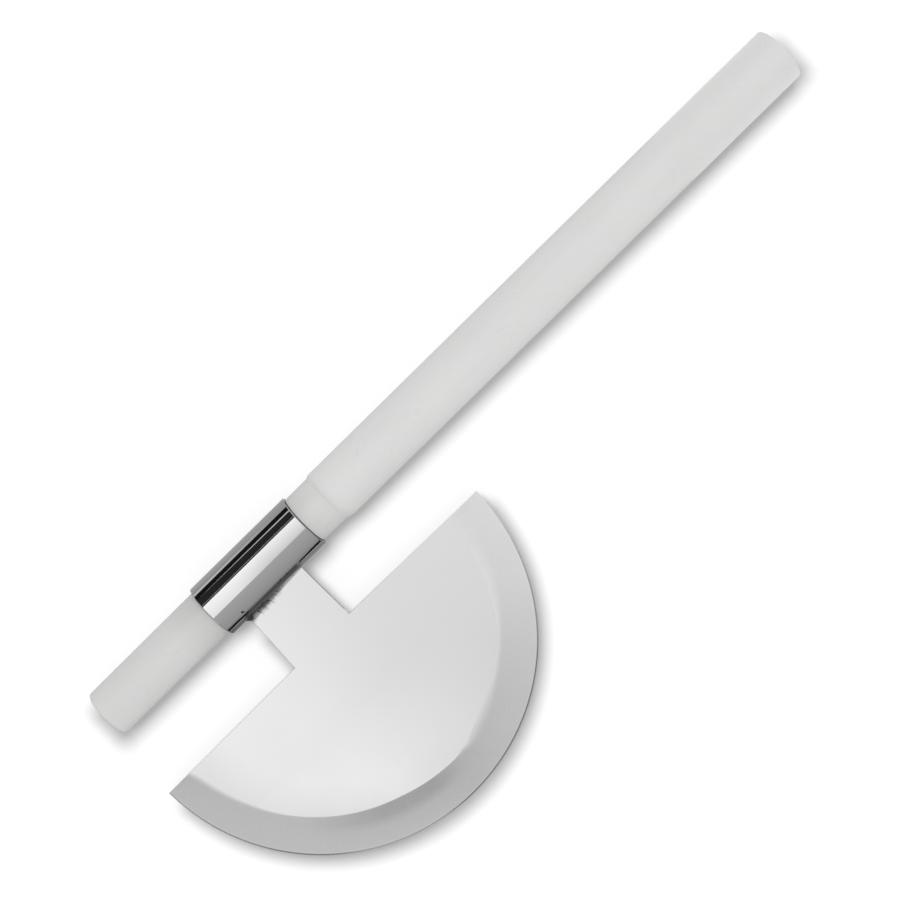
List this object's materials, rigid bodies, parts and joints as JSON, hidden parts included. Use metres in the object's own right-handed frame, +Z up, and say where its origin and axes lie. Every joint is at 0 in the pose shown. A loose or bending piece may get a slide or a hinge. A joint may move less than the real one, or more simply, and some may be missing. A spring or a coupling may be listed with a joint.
{
  "type": "kitchen cleaver",
  "caption": "Half-moon kitchen cleaver: a round plastic handle driven through a steel socket tube, with a bevelled half-round blade welded to its side, for rocking and chopping.",
  "frame": {"origin": "on the surface that the cleaver lies on, under the middle of its box", "axes": "+X along the handle towards the end of the grip, -Y from the handle towards the cutting edge, +Z up from the surface; the cleaver lies on its socket tube and its cutting edge, so the blade slopes down to the edge by about 5.5 degrees"},
  "size_m": [0.4776, 0.174, 0.0308],
  "materials": {
    "white_plastic": "turned satin white plastic",
    "polished_steel": "mirror-polished stainless steel",
    "ground_steel": "satin-ground flats and a hollow-ground bevel",
    "weld_metal": "rough weld metal, partly ground"
  },
  "bodies": {
    "root": {"handle": "white_plastic", "socket_tube": "polished_steel", "blade": "ground_steel", "weld_bead_upper": "weld_metal", "weld_bead_lower": "weld_metal"}
  },
  "joints": []
}
